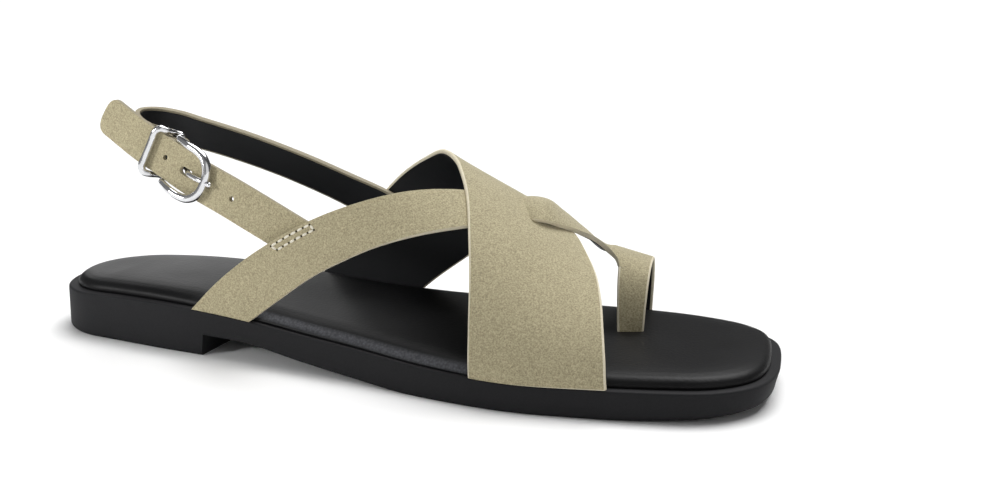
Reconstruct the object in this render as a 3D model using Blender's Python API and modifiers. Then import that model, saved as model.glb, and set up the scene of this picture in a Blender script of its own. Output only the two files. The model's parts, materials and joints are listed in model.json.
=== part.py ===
"""Toe loop sandal for the right foot, flat, with a crossed strap upper and a buckled heel strap.

The sole is lofted from one outline table, and the straps lie on one last that stands on it.
Sizes are in millimetres and become metres where a mesh is made.
+X runs to the toe, +Y to the medial side (the big toe's side) and +Z up. The floor is z = 0.
"""

import math

import bmesh
import bpy
import numpy as np
from mathutils import Matrix, Vector

MM = 0.001

# Driving dimensions
SOLE_LENGTH = 250.0
CENTRE_SHIFT = 1.0  # the line from heel back to toe tip lies this far to the medial side of the middle
GAP = 0.3  # room left between pieces that touch
LEDGE = 3.0  # bare rim of the outsole round the footbed
BREAST_X = 65.0  # front face of the heel block, from the heel's back
BREAST_DRAFT = 0.6
RIM_ROUND = 0.8
STRAP_WALL = 1.8
STRAP_SETBACK = 0.4  # the straps' outer face stands this far inside the outsole's outline
HEEL_STRAP_WALL = 1.8
HEEL_STRAP_WIDTH = 13.2
WIRE = 2.1  # buckle wire diameter
PRONG_WIRE = 1.7
STATIONS = 48  # steps of the outline from heel to toe

# Share of the length, half width on the lateral side, half width on the medial side
OUTLINE = np.array([
    (0.00, 0.0, 0.0),
    (0.02, 16.3, 15.0),
    (0.06, 23.8, 23.4),
    (0.12, 26.1, 27.6),
    (0.22, 28.7, 29.8),
    (0.35, 30.6, 29.7),
    (0.48, 34.9, 32.1),
    (0.60, 41.1, 37.8),
    (0.70, 43.7, 40.9),
    (0.80, 41.1, 41.7),
    (0.88, 37.4, 39.3),
    (0.94, 32.6, 33.6),
    (0.98, 24.2, 21.8),
    (0.995, 17.0, 4.6),
    (1.00, 8.0, -8.0),
])

# Distance from the heel's back, height of the outsole's rim
RIM = np.array([(0, 14.7), (60, 15.2), (110, 11.4), (170, 8.7), (215, 9.4), (250, 10.0)])

# Distance from the heel's back, height of the underside ahead of the heel: arch, flat tread, toe spring
UNDERSIDE = np.array([
    (65, 6.9), (81, 6.3), (104, 3.1), (122, 1.3), (141, 0.0), (175, 0.0), (207, 0.0), (227, 0.8), (250, 2.3),
])

# Distance from the heel's back, how far the outsole's lower edge is rounded in and how far its wall leans in
TUCK = np.array([(0, 1.8, 0.0), (30, 1.2, 0.0), (200, 1.2, 0.0), (232, 2.0, 0.5), (250, 2.3, 1.2)])

# Edge of the padded footbed: distance in from the outsole's outline, height over the rim
FOOTBED_EDGE = np.array([
    (3.9, GAP), (3.1, 0.9), (LEDGE, 1.9), (3.5, 2.9), (4.8, 3.7), (7.0, 4.15), (10.0, 4.3),
])

# The last: distance from the heel's back, height of its crest
CREST = np.array([(55, 95), (100, 87), (141, 64.2), (170, 49.7), (190, 38.3), (210, 34.6)])
CREST_Y = 4.0

# A turn of 0 is the lateral rim of the last, 0.5 its crest and 1 its medial rim.
# Wide vamp strap: turn, rear edge and front edge as distances from the heel's back
VAMP = np.array([
    (0.0, 164.0, 206.2),
    (0.1, 163.0, 205.0),
    (0.2, 160.5, 202.5),
    (0.3, 156.0, 198.8),
    (0.4, 150.0, 193.0),
    (0.5, 141.5, 183.5),
    (0.6, 133.0, 171.5),
    (0.7, 124.0, 160.0),
    (0.8, 111.0, 148.5),
    (0.9, 96.0, 136.5),
    (1.0, 79.0, 116.5),
])

# Cross strap from the lateral heel, under the vamp strap and out through its slit to the toe loop:
# rear edge and front edge as distance and turn, the lift over the vamp strap's own level, and how much
# more the strap's middle is crowned
CROSS = np.array([
    (61.6, 0.000, 83.5, 0.000, 0.0, 0.0),
    (72.1, 0.046, 94.5, 0.039, 0.0, 0.0),
    (85.0, 0.094, 105.5, 0.081, 0.0, 0.0),
    (103.4, 0.160, 117.0, 0.125, 0.0, 0.0),
    (120.0, 0.231, 129.0, 0.179, -0.2, 0.0),
    (135.0, 0.319, 142.1, 0.246, -0.7, 0.0),
    (150.0, 0.421, 155.5, 0.326, -1.2, 0.0),
    (157.0, 0.472, 163.5, 0.392, -1.4, 0.0),
    (162.3, 0.517, 169.2, 0.443, -0.6, 0.3),
    (164.6, 0.540, 171.2, 0.441, 1.3, 1.6),
    (167.4, 0.570, 173.4, 0.452, 2.0, 1.9),
    (171.8, 0.612, 176.8, 0.480, 1.8, 0.9),
    (178.8, 0.662, 181.2, 0.540, 1.2, 0.2),
    (186.0, 0.700, 186.5, 0.610, 0.6, 0.0),
])
CROSS_STEPS = 4  # steps between two rows

# Toe loop: an arch over the big toe, from between the toes to the medial ledge
LOOP_NEAR = (199.9, 7.2)
LOOP_FAR = (193.9, 39.8)
LOOP_TOP_REAR = 35.0
LOOP_TOP_FRONT = 32.4
LOOP_WIDTH_FOOT = 8.2
LOOP_WIDTH_TOP = 10.4
LOOP_NEAR_SKEW = 20.0  # degrees that the limb between the toes is turned to the medial side
LOOP_SQUARENESS = 0.8
LOOP_SINK = 2.2  # depth of the limb between the toes in its slot in the footbed
# Cross strap's last rows, on the loop and the surface behind it: turn of the far edge and of the near edge,
# share across the band, and how much the row lies under the loop's own level
LOOP_MEETING = (
    (0.60, 0.44, -0.25, 0.0),
    (0.63, 0.40, -0.1, 0.1),
    (0.65, 0.33, 0.04, 0.35),
    (0.60, 0.36, 0.5, 0.35),
)

# Heel straps: centre line as distance from the heel's back, offset from the centre line, height,
# and the lean of the strap's top edge towards the ankle in degrees
SLING = np.array([
    (112.0, 25.0, 39.4, 9.0),
    (103.0, 24.2, 43.6, 14.0),
    (92.0, 23.2, 48.2, 23.0),
    (75.0, 20.0, 55.1, 27.0),
    (59.5, 16.4, 60.6, 28.0),
    (45.0, 12.2, 65.1, 28.0),
    (35.5, 9.2, 67.7, 24.0),
    (29.1, 5.6, 68.7, 19.0),
    (25.5, 0.8, 68.7, 15.0),
    (26.2, -4.2, 68.0, 15.0),
    (29.6, -8.0, 67.0, 14.0),
    (34.5, -11.0, 66.2, 13.0),
])
BILLET = np.array([
    (23.0, -15.2, 76.0, 3.0),
    (29.0, -15.9, 72.4, 3.0),
    (38.7, -17.0, 66.9, 6.0),
    (47.8, -18.3, 62.8, 9.0),
    (56.4, -19.6, 58.7, 9.0),
    (74.1, -22.3, 52.0, 9.0),
    (96.0, -24.3, 42.7, 8.0),
    (105.5, -25.5, 38.8, 8.0),
])
BILLET_TIP = 4.4  # length of the rounded tip
TIP_SQUARENESS = 0.7

# Buckle, in its own axes: along the billet towards the toe, across it, and out from the foot
BUCKLE_AT = 3  # row of BILLET where the buckle's centre bar crosses
BAR_ALONG = -0.7  # the bar lies this far behind the origin
TOP_LAYER = HEEL_STRAP_WALL + GAP  # depth of the sling strap's upper layer under the billet
BAR_DEPTH = HEEL_STRAP_WALL * 1.5 + GAP * 2 + WIRE / 2
END_HEIGHT = HEEL_STRAP_WALL / 2 + GAP + WIRE / 2
# Upper half of the frame, from the middle of the keeper end past the centre bar to the round end's middle
FRAME = np.array([
    (-6.3, 0.0, END_HEIGHT),
    (-6.3, 3.4, END_HEIGHT),
    (-6.1, 6.6, END_HEIGHT),
    (-5.1, 7.9, END_HEIGHT - 0.3),
    (-3.6, 8.0, 0.6),
    (-2.7, 8.0, -1.2),
    (-2.1, 8.0, -3.0),
    (BAR_ALONG, 8.0, -BAR_DEPTH),
    (0.7, 8.0, -3.0),
    (1.1, 8.0, -1.2),
    (2.0, 8.0, 0.5),
    (4.4, 8.2, 1.4),
    (7.6, 8.3, END_HEIGHT),
    (11.2, 8.3, END_HEIGHT),
    (14.6, 7.4, END_HEIGHT),
    (17.0, 5.3, END_HEIGHT),
    (18.2, 2.7, END_HEIGHT),
    (18.4, 0.0, END_HEIGHT),
])
BAR_ROW = 7
# Prong: distance along, offset across and height out from the billet, from its eye on the bar to its tip
EYE = WIRE / 2 + GAP + PRONG_WIRE / 2
PRONG = np.array([
    (BAR_ALONG + EYE * 0.6, 0.0, -BAR_DEPTH - EYE * 0.8),
    (BAR_ALONG - EYE * 0.5, 0.0, -BAR_DEPTH - EYE * 0.87),
    (BAR_ALONG - EYE, 0.0, -BAR_DEPTH),
    (BAR_ALONG - EYE * 0.25, 0.0, -BAR_DEPTH + EYE * 0.97),
    (3.5, -0.1, -2.3),
    (6.8, -0.3, -2.3),
    (8.6, -0.4, -1.3),
    (9.7, -0.4, 0.2),
    (10.9, -0.3, 1.7),
    (14.0, 0.1, 3.2),
    (18.3, 0.6, END_HEIGHT + WIRE + 0.2),
    (20.9, 0.9, END_HEIGHT + WIRE - 0.6),
])
HOLE_PITCH = 9.7
HOLE_SIZE = 1.8
PRONG_HOLE = (9.5, 5.2, 2.7)  # middle along the billet, length and width
FOLD_SLOT = (0.2, 9.0, 3.0)  # the same for the slot that lets the prong through the sling strap's fold


def clear_scene():
    """Removes whatever the file held before."""
    for item in list(bpy.data.objects):
        bpy.data.objects.remove(item, do_unlink=True)


def new_collection(name):
    group = bpy.data.collections.new(name)
    bpy.context.scene.collection.children.link(group)
    return group


def material(name, colour, roughness, metallic=0.0):
    """A plain Principled finish with the piece's own colour."""
    finish = bpy.data.materials.new(name)
    finish.use_nodes = True
    shader = finish.node_tree.nodes["Principled BSDF"]
    shader.inputs["Base Color"].default_value = (*colour, 1.0)
    shader.inputs["Roughness"].default_value = roughness
    shader.inputs["Metallic"].default_value = metallic
    return finish


def smooth(at, knots, values):
    """A smooth curve through a table's rows, read at the given places."""
    knots = np.asarray(knots, float)
    values = np.asarray(values, float)
    at = np.clip(np.asarray(at, float), knots[0], knots[-1])
    extra = (1,) * (values.ndim - 1)
    step = np.diff(knots).reshape((-1,) + extra)
    slope = np.diff(values, axis=0) / step
    tangent = np.concatenate([slope[:1], slope])
    tangent[1:-1] = (slope[:-1] * step[1:] + slope[1:] * step[:-1]) / (step[:-1] + step[1:])
    k = np.clip(np.searchsorted(knots, at) - 1, 0, len(knots) - 2)
    t = ((at - knots[k]) / np.diff(knots)[k]).reshape(at.shape + extra)
    rise = t * t * (3 - 2 * t)
    start = t * (1 - t) ** 2 * tangent[k]
    end = t * t * (t - 1) * tangent[k + 1]
    return values[k] * (1 - rise) + values[k + 1] * rise + (start + end) * step[k]


def round_share(share):
    """Spreads the shares of the length evenly round the ends of the outline."""
    return np.arccos(1 - 2 * np.asarray(share, float)) / math.pi


def half_width(x, column):
    share = np.clip(x, 0, SOLE_LENGTH) / SOLE_LENGTH
    return smooth(round_share(share), round_share(OUTLINE[:, 0]), OUTLINE[:, column])


def lateral(x):
    return half_width(x, 1)


def medial(x):
    return half_width(x, 2)


def rim_height(x):
    return smooth(x, RIM[:, 0], RIM[:, 1])


def underside(x):
    """Height of the sole's underside: the flat heel block, its breast, then the arch and the tread."""
    ahead = np.maximum(smooth(x, UNDERSIDE[:, 0], UNDERSIDE[:, 1]), 0.0)
    return np.where(x < BREAST_X + BREAST_DRAFT / 2, 0.0, ahead)


def place(points):
    """Moves points from sole sizes to the part's own frame, in metres."""
    points = np.array(points, float)
    points[..., 0] -= SOLE_LENGTH / 2
    points[..., 1] += CENTRE_SHIFT
    return points * MM


def sole_stations():
    """Distances from the heel's back of the sole's sections, with both edges of the breast."""
    even = SOLE_LENGTH * (1 - np.cos(np.linspace(0, math.pi, STATIONS + 1))) / 2
    breast = np.array([BREAST_X, BREAST_X + BREAST_DRAFT])
    far = np.abs(even[:, None] - breast).min(axis=1) > 3.0
    return np.sort(np.concatenate([even[far], breast]))


def sole_ring(stations, inset):
    """The outline set in by a distance: lateral side from heel to toe, then the medial side back."""
    back = stations[-2:0:-1]
    x = np.concatenate([stations, back])
    y = np.concatenate([-lateral(stations), medial(back)])
    along = np.stack([np.roll(x, -1) - np.roll(x, 1), np.roll(y, -1) - np.roll(y, 1)], axis=1)
    along /= np.linalg.norm(along, axis=1)[:, None]
    inset = np.broadcast_to(inset, x.shape)
    return x, np.stack([x - along[:, 1] * inset, y + along[:, 0] * inset], axis=1)


def loft(rings):
    """A closed mesh through rings of equal length, capped by strips across from side to side."""
    mesh = bmesh.new()
    loops = [[mesh.verts.new(p) for p in place(ring)] for ring in rings]
    count = len(loops[0])
    for low, high in zip(loops, loops[1:]):
        for i in range(count):
            j = (i + 1) % count
            mesh.faces.new((low[i], low[j], high[j], high[i]))
    for loop, up in ((loops[0], False), (loops[-1], True)):
        for i in range(count // 2):
            strip = [loop[i], loop[i + 1], loop[(count - i - 1) % count], loop[(count - i) % count]]
            strip = list(dict.fromkeys(strip))
            mesh.faces.new(strip if up else strip[::-1])
    return mesh


def sheet(grid):
    """An open surface through a grid of points."""
    mesh = bmesh.new()
    rows = [[mesh.verts.new(p) for p in row] for row in place(grid)]
    for row, following in zip(rows, rows[1:]):
        for i in range(len(row) - 1):
            mesh.faces.new((row[i], row[i + 1], following[i + 1], following[i]))
    return mesh


def add_object(name, mesh, group, finish=None):
    """Turns a bmesh into a smooth shaded object of its collection."""
    data = bpy.data.meshes.new(name)
    mesh.to_mesh(data)
    mesh.free()
    data.shade_smooth()
    data.set_sharp_from_angle(angle=math.radians(40))
    item = bpy.data.objects.new(name, data)
    group.objects.link(item)
    if finish:
        data.materials.append(finish)
    else:
        item.hide_render = True
        item.display_type = "WIRE"
    return item


def give_wall(item, thickness):
    wall = item.modifiers.new("wall", "SOLIDIFY")
    wall.thickness = thickness * MM
    wall.offset = 0.0
    wall.use_even_offset = True


def combine(item, other, operation):
    step = item.modifiers.new(operation.lower(), "BOOLEAN")
    step.operation = operation
    step.object = other


def last_point(x, turn):
    """A point of the last's surface, which passes through the middle of the straps' wall."""
    x, turn = np.broadcast_arrays(np.asarray(x, float), np.asarray(turn, float))
    inset = STRAP_SETBACK + STRAP_WALL / 2
    base = rim_height(x) + GAP
    across = np.cos(math.pi * turn)
    half = np.where(across > 0, lateral(x) - inset + CREST_Y, medial(x) - inset - CREST_Y)
    height = smooth(x, CREST[:, 0], CREST[:, 1]) - base
    return np.stack([x, CREST_Y - across * half, base + height * np.sin(math.pi * turn)], axis=-1)


def lifted(x, turn, lift):
    """A point that stands off the last's surface along its outward normal."""
    step = 0.01
    along = last_point(x + 1.0, turn) - last_point(x - 1.0, turn)
    round_it = last_point(x, turn + step) - last_point(x, turn - step)
    normal = np.cross(along, round_it)
    normal /= np.linalg.norm(normal, axis=-1)[..., None]
    return last_point(x, turn) + normal * np.asarray(lift)[..., None]


def vamp_grid():
    """The wide strap between its two edges, over the last from the lateral rim to the medial rim."""
    turn = np.linspace(0, 1, 41)[:, None]
    share = np.linspace(0, 1, 9)[None, :]
    rear = smooth(turn[:, 0], VAMP[:, 0], VAMP[:, 1])[:, None]
    front = smooth(turn[:, 0], VAMP[:, 0], VAMP[:, 2])[:, None]
    return last_point(rear + (front - rear) * share, turn)


def loop_point(turn, share):
    """A point of the toe loop: turn 0 between the toes to 1 at the medial ledge, share across the band."""
    turn, share = np.broadcast_arrays(np.asarray(turn, float), np.asarray(share, float))
    angle = math.pi * turn
    swing = np.sign(np.cos(angle)) * np.abs(np.cos(angle)) ** LOOP_SQUARENESS
    height = np.abs(np.sin(angle)) ** LOOP_SQUARENESS
    middle = (np.array(LOOP_NEAR) + LOOP_FAR) / 2
    reach = (np.array(LOOP_NEAR) - LOOP_FAR) / 2
    centre = middle + reach * swing[..., None]
    near_foot = rim_height(LOOP_NEAR[0]) + FOOTBED_EDGE[-1, 1] - LOOP_SINK
    foot = np.where(swing > 0, near_foot, rim_height(LOOP_FAR[0]) + GAP)
    skew = np.radians(LOOP_NEAR_SKEW) * (1 - turn)
    width = LOOP_WIDTH_FOOT + (LOOP_WIDTH_TOP - LOOP_WIDTH_FOOT) * height
    across = width * (share - 0.5)
    x = centre[..., 0] + np.cos(skew) * across
    y = centre[..., 1] + np.sin(skew) * across
    top = LOOP_TOP_REAR + (LOOP_TOP_FRONT - LOOP_TOP_REAR) * share
    return np.stack([x, y, foot + (top - foot) * height], axis=-1)


def cross_grid():
    """The cross strap: rows on the last, then rows that flare into the toe loop's rear half."""
    share = np.linspace(0, 1, 5)
    rear_x, rear_turn, front_x, front_turn, lift, crown = [column[:, None] for column in CROSS.T]
    x = rear_x + (front_x - rear_x) * share
    turn = rear_turn + (front_turn - rear_turn) * share
    rows = list(lifted(x, turn, lift + crown * 4 * share * (1 - share)))
    for far_turn, near_turn, across, sink in LOOP_MEETING:
        row = loop_point(far_turn + (near_turn - far_turn) * share, across)
        row[:, 2] -= sink
        rows.append(row)
    rows = np.array(rows)
    travel = np.linalg.norm(np.diff(rows[:, 2], axis=0), axis=1)
    knots = np.concatenate([[0], np.cumsum(travel)])
    steps = np.linspace(0, len(knots) - 1, CROSS_STEPS * (len(knots) - 1) + 1)
    return smooth(np.interp(steps, np.arange(len(knots)), knots), knots, rows)


def loop_grid():
    turn = np.linspace(0, 1, 29)[:, None]
    return loop_point(turn, np.linspace(0, 1, 4)[None, :])


def strap_axes(centres, leans):
    """Directions along a heel strap, across it (upwards) and out from the foot, at each centre point."""
    along = np.gradient(centres, axis=0)
    along /= np.linalg.norm(along, axis=1)[:, None]
    up = np.array([0.0, 0.0, 1.0]) - along * along[:, 2:3]
    up /= np.linalg.norm(up, axis=1)[:, None]
    inside = np.cross(up, along)
    lean = np.radians(leans)[:, None]
    across = up * np.cos(lean) + inside * np.sin(lean)
    return along, across, np.cross(along, across)


def strap_path(rows, count):
    """Evenly read centre points and leans along a heel strap's table."""
    travel = np.linalg.norm(np.diff(rows[:, :3], axis=0), axis=1)
    knots = np.concatenate([[0], np.cumsum(travel)])
    path = smooth(np.linspace(0, knots[-1], count), knots, rows)
    return path[:, :3], path[:, 3]


def buckle_axes():
    """Origin and axes of the buckle, taken from the billet where the centre bar crosses it."""
    origin = BILLET[BUCKLE_AT, :3]
    along = BILLET[BUCKLE_AT + 2, :3] - BILLET[BUCKLE_AT - 1, :3]
    along /= np.linalg.norm(along)
    lean = BILLET[BUCKLE_AT, 3:4]
    _, across, out = strap_axes(np.array([origin - along, origin, origin + along]), np.repeat(lean, 3))
    return origin, along, across[1], out[1]


def in_buckle(points):
    """Moves points from the buckle's own axes to sole sizes."""
    origin, along, across, out = buckle_axes()
    points = np.asarray(points, float)
    return origin + points @ np.stack([along, across, out])


def sling_grid():
    """The sling strap: round the heel, then folded about the buckle's centre bar."""
    centres, leans = strap_path(SLING, 49)
    angle = np.linspace(0, math.pi, 9)
    radius = BAR_DEPTH - TOP_LAYER
    fold = np.stack([radius * np.sin(angle), 0 * angle, radius * np.cos(angle) - BAR_DEPTH], axis=1)
    run_in = np.array([(-9.0, 0, -TOP_LAYER - 1.3), (-6.0, 0, -TOP_LAYER - 0.3), (-3.0, 0, -TOP_LAYER)])
    run_out = np.array([(-3.0, 0, -BAR_DEPTH - radius - 0.1), (-7.0, 0, -BAR_DEPTH - radius - 0.9)])
    ending = in_buckle(np.concatenate([run_in, fold, run_out]) + (BAR_ALONG, 0, 0))
    _, across, _ = strap_axes(centres, leans)
    across = np.concatenate([across, np.repeat(buckle_axes()[2][None, :], len(ending), axis=0)])
    blend = np.linspace(0, 1, 6)[:, None]
    start = len(centres) - len(blend)
    across[start:len(centres)] += (across[-1] - across[start:len(centres)]) * blend
    across /= np.linalg.norm(across, axis=1)[:, None]
    centres = np.concatenate([centres, ending])
    side = np.linspace(-0.5, 0.5, 3)[None, :, None] * HEEL_STRAP_WIDTH
    return centres[:, None, :] + across[:, None, :] * side


def billet_grid():
    """The punched strap, from its rounded tip to its sewn end inside the cross strap."""
    centres, leans = strap_path(BILLET, 45)
    travel = np.concatenate([[0], np.cumsum(np.linalg.norm(np.diff(centres, axis=0), axis=1))])
    body = travel > BILLET_TIP
    tip_angle = np.radians([83, 72, 58, 40, 20, 0])
    tip = smooth(BILLET_TIP * (1 - np.sin(tip_angle) ** TIP_SQUARENESS), travel, centres)
    half = np.concatenate([np.cos(tip_angle) ** TIP_SQUARENESS, np.ones(body.sum())]) * HEEL_STRAP_WIDTH / 2
    centres = np.concatenate([tip, centres[body]])
    leans = np.concatenate([np.full(len(tip), leans[0]), leans[body]])
    _, across, _ = strap_axes(centres, leans)
    side = np.linspace(-1, 1, 5)[None, :, None] * half[:, None, None]
    return centres[:, None, :] + across[:, None, :] * side


def tube(name, points, diameter, closed):
    """A wire as a mesh: a curve with a round bevel, with its end caps welded on."""
    curve = bpy.data.curves.new(name, "CURVE")
    curve.dimensions = "3D"
    curve.bevel_depth = diameter / 2 * MM
    curve.bevel_resolution = 2
    curve.use_fill_caps = not closed
    spline = curve.splines.new("POLY")
    spline.points.add(len(points) - 1)
    for point, where in zip(spline.points, place(points)):
        point.co = (*where, 1.0)
    spline.use_cyclic_u = closed
    wire = bpy.data.objects.new(name + "_wire", curve)
    bpy.context.scene.collection.objects.link(wire)
    bpy.context.view_layer.update()
    data = bpy.data.meshes.new_from_object(wire.evaluated_get(bpy.context.evaluated_depsgraph_get()))
    bpy.data.objects.remove(wire, do_unlink=True)
    mesh = bmesh.new()
    mesh.from_mesh(data)
    bmesh.ops.remove_doubles(mesh, verts=mesh.verts, dist=1e-6)
    return mesh


def frame_points():
    """The buckle's double loop as a closed path, its lower half mirrored from the upper one."""
    lower = FRAME[-2:0:-1] * (1, -1, 1)
    ring = np.concatenate([FRAME, lower])
    count = len(ring)
    wrapped = np.concatenate([ring[-3:], ring, ring[:4]])
    travel = np.linalg.norm(np.diff(wrapped, axis=0), axis=1)
    knots = np.concatenate([[0], np.cumsum(travel)])
    return in_buckle(smooth(np.linspace(knots[3], knots[3 + count], 81)[:-1], knots, wrapped))


def prong_points():
    travel = np.linalg.norm(np.diff(PRONG, axis=0), axis=1)
    knots = np.concatenate([[0], np.cumsum(travel)])
    return in_buckle(smooth(np.linspace(0, knots[-1], 30), knots, PRONG))


def punch_matrix(along, out):
    """Where a punch stands on the billet's centre line, at a distance along it from the buckle's bar."""
    _, axis_along, axis_across, axis_out = buckle_axes()
    turn = Matrix([axis_along, axis_across, axis_out]).transposed().to_4x4()
    travel = np.linalg.norm(np.diff(BILLET[:, :3], axis=0), axis=1)
    knots = np.concatenate([[0], np.cumsum(travel)])
    centre = smooth(knots[BUCKLE_AT] + along, knots, BILLET[:, :3]) + axis_out * out
    return Matrix.Translation(Vector(place(centre))) @ turn


def rounded_slot(length, width, depth):
    """A closed slot with round ends, long in X and centred on its origin."""
    mesh = bmesh.new()
    bmesh.ops.create_cone(mesh, cap_ends=True, segments=16, radius1=width / 2 * MM, radius2=width / 2 * MM,
                          depth=depth * MM)
    straight = max(length - width, 0.0) / 2 * MM
    for vert in mesh.verts:
        vert.co.x += math.copysign(straight, vert.co.x) if abs(vert.co.x) > 1e-7 else 0.0
    return mesh


def add_cutter(name, mesh, matrix, group):
    cutter = add_object(name, mesh, group)
    cutter.matrix_world = matrix
    return cutter


clear_scene()
parts = new_collection("toe_loop_sandal")
cutters = new_collection("cutters")

# Outsole: one moulded rubber unit with heel block, breast, arch, tread and toe spring
stations = sole_stations()
sole_x, _ = sole_ring(stations, 0.0)
tuck, lean = smooth(sole_x, TUCK[:, 0], TUCK[:, 1:]).T
low = underside(sole_x)
rim = rim_height(sole_x)
OUTSOLE_LEVELS = (
    (lean + tuck, low),
    (lean + tuck * 0.35, low + tuck * 0.3),
    (lean, low + tuck * 1.1),
    (0.0, rim - RIM_ROUND),
    (RIM_ROUND * 0.3, rim - RIM_ROUND * 0.25),
    (RIM_ROUND, rim),
)
outsole_rings = [np.column_stack([sole_ring(stations, inset)[1], height]) for inset, height in OUTSOLE_LEVELS]
rubber = material("black_rubber", (0.010, 0.010, 0.011), 0.55)
add_object("outsole", loft(outsole_rings), parts, rubber)

# Footbed: padded insole with a rounded edge, slotted for the loop's limb between the toes
footbed_rings = [np.column_stack([sole_ring(stations, inset)[1], rim + rise]) for inset, rise in FOOTBED_EDGE]
lining = material("black_lining_leather", (0.013, 0.013, 0.014), 0.45)
footbed = add_object("footbed", loft(footbed_rings), parts, lining)
slot_size = (LOOP_WIDTH_FOOT + 4 * GAP, STRAP_WALL + 2 * GAP, 2 * (LOOP_SINK + GAP))
slot_mesh = bmesh.new()
bmesh.ops.create_cube(slot_mesh, size=MM, matrix=Matrix.Diagonal((*slot_size, 1.0)))
footbed_top = float(rim_height(LOOP_NEAR[0])) + FOOTBED_EDGE[-1, 1]
slot_at = Vector(place((*LOOP_NEAR, footbed_top)))
slot_turn = Matrix.Rotation(math.radians(LOOP_NEAR_SKEW), 4, "Z")
toe_slot = add_cutter("toe_slot", slot_mesh, Matrix.Translation(slot_at) @ slot_turn, cutters)
combine(footbed, toe_slot, "DIFFERENCE")

# Upper: vamp strap, cross strap and toe loop as one walled solid
nubuck = material("khaki_nubuck", (0.42, 0.37, 0.26), 0.85)
upper = add_object("upper", sheet(vamp_grid()), parts, nubuck)
give_wall(upper, STRAP_WALL)
for name, grid in (("cross_strap", cross_grid()), ("toe_loop", loop_grid())):
    strap = add_object(name, sheet(grid), cutters)
    give_wall(strap, STRAP_WALL)
    combine(upper, strap, "UNION")

# Sling strap: sewn inside the vamp strap's medial end, round the heel and folded about the buckle's bar
sling_finish = material("khaki_sling", (0.40, 0.35, 0.25), 0.85)
sling = add_object("sling_strap", sheet(sling_grid()), parts, sling_finish)
give_wall(sling, HEEL_STRAP_WALL)
fold_slot = rounded_slot(FOLD_SLOT[1], FOLD_SLOT[2], 3 * BAR_DEPTH)
fold_cutter = add_cutter("fold_slot", fold_slot, punch_matrix(FOLD_SLOT[0], -BAR_DEPTH), cutters)
combine(sling, fold_cutter, "DIFFERENCE")

# Billet: sewn inside the cross strap, punched, through the buckle to its free tip
billet_finish = material("khaki_billet", (0.42, 0.37, 0.26), 0.85)
billet = add_object("buckle_strap", sheet(billet_grid()), parts, billet_finish)
give_wall(billet, HEEL_STRAP_WALL)
punches = [PRONG_HOLE]
punches += [(HOLE_PITCH * step, HOLE_SIZE, HOLE_SIZE) for step in (0, 2, 3)]
for number, (along, length, width) in enumerate(punches):
    punch = rounded_slot(length, width, 3 * HEEL_STRAP_WALL)
    combine(billet, add_cutter(f"punch_{number}", punch, punch_matrix(along, 0.0), cutters), "DIFFERENCE")

# Buckle: bent wire double loop with its centre bar, and the prong that turns on the bar
steel = material("polished_steel", (0.80, 0.80, 0.80), 0.12, 1.0)
frame = add_object("buckle_frame", tube("buckle_frame", frame_points(), WIRE, True), parts, steel)
bar_half = FRAME[BAR_ROW, 1]
bar_points = in_buckle([(BAR_ALONG, -bar_half, -BAR_DEPTH), (BAR_ALONG, bar_half, -BAR_DEPTH)])
combine(frame, add_object("centre_bar", tube("centre_bar", bar_points, WIRE, False), cutters), "UNION")
add_object("buckle_prong", tube("buckle_prong", prong_points(), PRONG_WIRE, False), parts, steel.copy())
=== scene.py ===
"""Looks of the toe loop sandal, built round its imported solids.

Sizes are in millimetres and become metres where a mesh is made. +X runs to the toe, +Y to the medial
side (the big toe's side) and +Z up. The floor is z = 0.
"""

import json
import math

import bmesh
import bpy
import numpy as np
from mathutils import Matrix, Vector

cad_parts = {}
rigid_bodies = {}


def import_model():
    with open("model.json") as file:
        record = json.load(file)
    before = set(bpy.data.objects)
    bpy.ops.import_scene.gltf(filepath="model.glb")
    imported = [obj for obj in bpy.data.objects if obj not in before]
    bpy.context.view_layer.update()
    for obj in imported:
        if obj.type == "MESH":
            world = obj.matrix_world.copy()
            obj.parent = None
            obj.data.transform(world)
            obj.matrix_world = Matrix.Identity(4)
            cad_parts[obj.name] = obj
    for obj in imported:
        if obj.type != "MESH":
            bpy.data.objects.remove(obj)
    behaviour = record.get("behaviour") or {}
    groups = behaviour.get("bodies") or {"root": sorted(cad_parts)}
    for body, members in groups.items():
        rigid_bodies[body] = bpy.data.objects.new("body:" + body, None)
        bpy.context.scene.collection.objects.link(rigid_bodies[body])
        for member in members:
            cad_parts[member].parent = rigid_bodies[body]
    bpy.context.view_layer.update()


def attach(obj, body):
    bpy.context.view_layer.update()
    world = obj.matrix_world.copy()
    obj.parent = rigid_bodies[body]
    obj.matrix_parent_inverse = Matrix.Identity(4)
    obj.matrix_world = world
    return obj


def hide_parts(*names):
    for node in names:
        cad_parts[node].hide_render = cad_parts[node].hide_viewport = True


for item in list(bpy.data.objects):
    bpy.data.objects.remove(item, do_unlink=True)
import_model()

# Outsole: one moulded unit of black rubber with a low heel block, a hollow under the arch and a little
# toe spring. The mould leaves its walls upright and its edges softly rounded.
MM = 0.001
SOLE_LENGTH = 250.0
CENTRE_SHIFT = 1.0
BREAST_X = 65.0
BREAST_DRAFT = 0.6
RIM_ROUND = 0.8
TUCK_RISE = 1.1  # height of the lower edge's rounding, as a share of its depth
SOLE_STATIONS = 140
EDGE_STEPS = 6
SHARP_EDGE = 40.0  # degrees between faces that stay a sharp edge
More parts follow.
